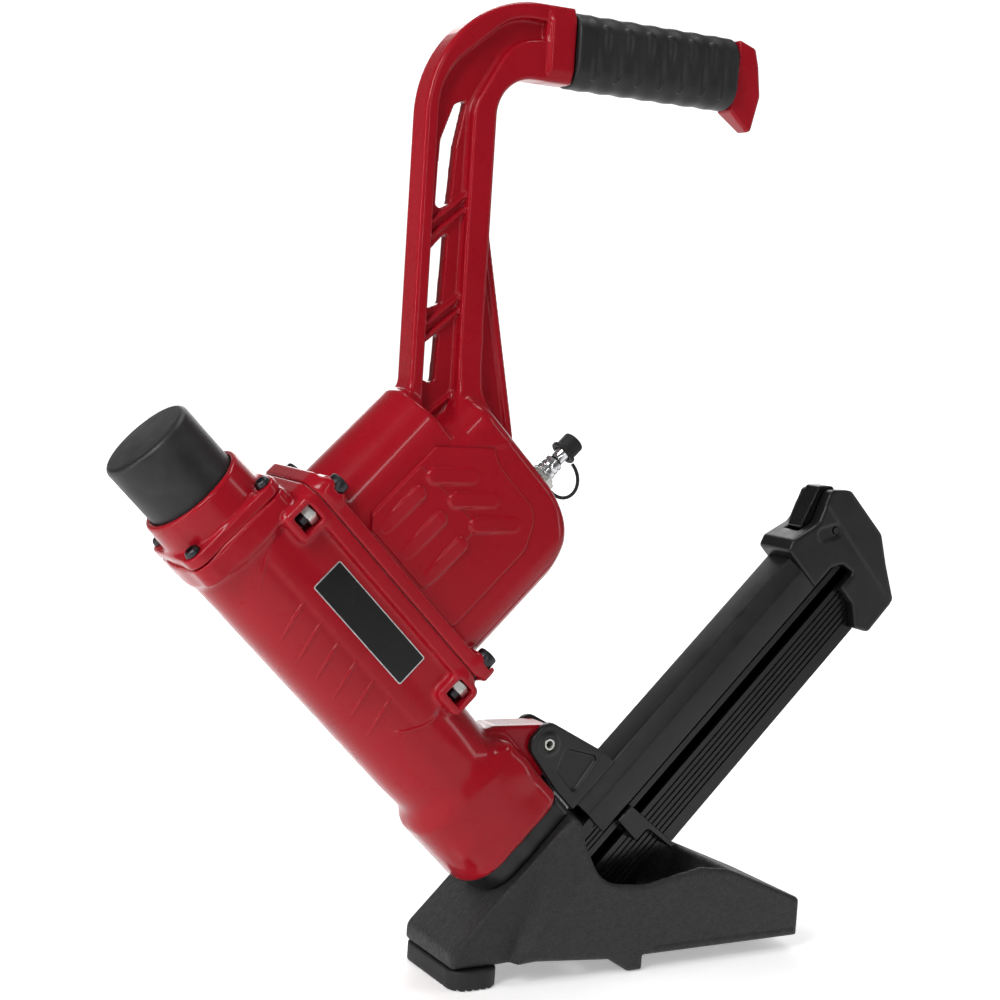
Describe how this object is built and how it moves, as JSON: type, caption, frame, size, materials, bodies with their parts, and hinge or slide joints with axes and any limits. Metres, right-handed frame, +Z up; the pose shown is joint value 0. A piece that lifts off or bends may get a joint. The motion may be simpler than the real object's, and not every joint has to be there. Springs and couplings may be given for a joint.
{
  "type": "flooring nailer",
  "caption": "Mallet-struck pneumatic flooring nailer: angled red driver body with strike cap, ribbed air-chamber handle, air plug, sloping side magazine and black foot.",
  "frame": {"origin": "on the floor plane, at the middle of the overall length and of the width", "axes": "+Z up from the floor; +X along the tool, from the strike cap's side towards the magazine's far end and the grip; +Y across the tool, square to the handle's plane"},
  "size_m": [0.5855, 0.085, 0.629],
  "materials": {
    "air_plug": "polished",
    "barrel_housing": "gloss",
    "base_casting": "matte",
    "bracket_pin": "satin",
    "collar_screw_1": "satin",
    "collar_screw_2": "satin",
    "collar_screw_3": "satin",
    "collar_screw_4": "satin",
    "cylinder_sleeve": "satin",
    "driver_blade": "satin",
    "dust_cap": "matte",
    "dust_cap_tether": "matte",
    "end_cap_screw": "satin",
    "flange_nut_1": "satin",
    "flange_nut_2": "satin",
    "flange_nut_3": "satin",
    "flange_nut_4": "satin",
    "flange_screw_1": "satin",
    "flange_screw_2": "satin",
    "flange_screw_3": "satin",
    "flange_screw_4": "satin",
    "front_foot": "matte",
    "grip_sleeve": "matte",
    "handle_end_cap": "gloss",
    "handle_housing": "gloss",
    "head_collar": "gloss",
    "head_valve": "matte",
    "inlet_bushing": "satin",
    "latch_lever": "gloss",
    "latch_pin": "satin",
    "magazine_bracket": "satin",
    "magazine_cover": "satin",
    "magazine_end_cap": "satin",
    "magazine_rail": "gloss",
    "name_plate": "gloss",
    "nose_block": "satin",
    "piston": "satin",
    "piston_bumper": "matte",
    "piston_ring": "matte",
    "pusher": "satin",
    "pusher_spring": "satin",
    "seam_gasket": "matte",
    "sole_plate": "matte",
    "sole_screw_1": "satin",
    "sole_screw_2": "satin",
    "sole_screw_3": "satin",
    "sole_screw_4": "satin",
    "strike_cap": "matte",
    "strike_plunger": "satin",
    "strike_spring": "satin"
  },
  "bodies": {
    "tool": {"air_plug": "air_plug", "barrel_housing": "barrel_housing", "base_casting": "base_casting", "bracket_pin": "bracket_pin", "collar_screw_1": "collar_screw_1", "collar_screw_2": "collar_screw_2", "collar_screw_3": "collar_screw_3", "collar_screw_4": "collar_screw_4", "cylinder_sleeve": "cylinder_sleeve", "dust_cap_tether": "dust_cap_tether", "end_cap_screw": "end_cap_screw", "flange_nut_1": "flange_nut_1", "flange_nut_2": "flange_nut_2", "flange_nut_3": "flange_nut_3", "flange_nut_4": "flange_nut_4", "flange_screw_1": "flange_screw_1", "flange_screw_2": "flange_screw_2", "flange_screw_3": "flange_screw_3", "flange_screw_4": "flange_screw_4", "front_foot": "front_foot", "grip_sleeve": "grip_sleeve", "handle_end_cap": "handle_end_cap", "handle_housing": "handle_housing", "head_collar": "head_collar", "inlet_bushing": "inlet_bushing", "latch_pin": "latch_pin", "magazine_bracket": "magazine_bracket", "magazine_cover": "magazine_cover", "magazine_end_cap": "magazine_end_cap", "magazine_rail": "magazine_rail", "name_plate": "name_plate", "nose_block": "nose_block", "piston_bumper": "piston_bumper", "pusher_spring": "pusher_spring", "seam_gasket": "seam_gasket", "sole_plate": "sole_plate", "sole_screw_1": "sole_screw_1", "sole_screw_2": "sole_screw_2", "sole_screw_3": "sole_screw_3", "sole_screw_4": "sole_screw_4", "strike_spring": "strike_spring"},
    "striker": {"strike_cap": "strike_cap", "strike_plunger": "strike_plunger", "head_valve": "head_valve"},
    "driver": {"piston": "piston", "piston_ring": "piston_ring", "driver_blade": "driver_blade"},
    "pusher": {"pusher": "pusher"},
    "latch": {"latch_lever": "latch_lever"},
    "dust_cap": {"dust_cap": "dust_cap"}
  },
  "joints": [
    {"name": "strike_press", "type": "slide", "parent": "tool", "child": "striker", "axis": [0.7071, 0, -0.7071], "range_m": [0, 0.01], "stiffness_N_per_m": 2000, "springref_m": -0.004, "deforming": ["strike_spring"]},
    {"name": "driver_stroke", "type": "slide", "parent": "tool", "child": "driver", "axis": [0.7071, 0, -0.7071], "range_m": [0, 0.08]},
    {"name": "pusher_slide", "type": "slide", "parent": "tool", "child": "pusher", "axis": [0.7071, 0, 0.7071], "range_m": [0, 0.205], "stiffness_N_per_m": 15, "springref_m": -0.3, "deforming": ["pusher_spring"]},
    {"name": "latch_pivot", "type": "hinge", "parent": "tool", "child": "latch", "pos_m": [0.23382, 0, 0.29607], "axis": [0, 1, 0], "range_deg": [-9, 0], "stiffness_Nm_per_rad": 0.5, "springref_deg": 8.59},
    {"name": "dust_cap_pull", "type": "slide", "parent": "tool", "child": "dust_cap", "axis": [0.7071, 0, 0.7071], "range_m": [0, 0.018], "deforming": ["dust_cap_tether"]}
  ]
}
